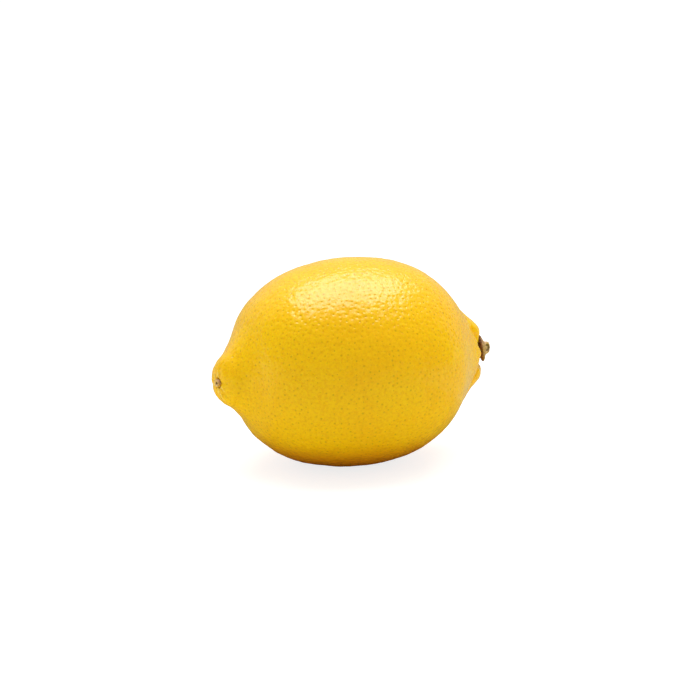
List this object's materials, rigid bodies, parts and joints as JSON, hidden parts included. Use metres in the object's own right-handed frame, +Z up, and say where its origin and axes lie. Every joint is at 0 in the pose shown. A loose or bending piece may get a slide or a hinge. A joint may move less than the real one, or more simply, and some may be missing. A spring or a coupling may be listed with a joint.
{
  "type": "lemon",
  "caption": "Whole ripe lemon lying on its side, with a nipple at the blossom end and a woody stem button at the other.",
  "frame": {"origin": "on the resting surface, under the middle of the bounding box", "axes": "+X along the fruit's axis to the stem end, with the nipple at -X; +Z up; the front is -Y"},
  "size_m": [0.0826, 0.0592, 0.0589],
  "materials": {
    "rind": "satin",
    "dry_stem": "matte",
    "dry_style": "matte"
  },
  "bodies": {
    "root": {"fruit": "rind", "stem_button": "dry_stem", "style_remnant": "dry_style"}
  },
  "joints": []
}
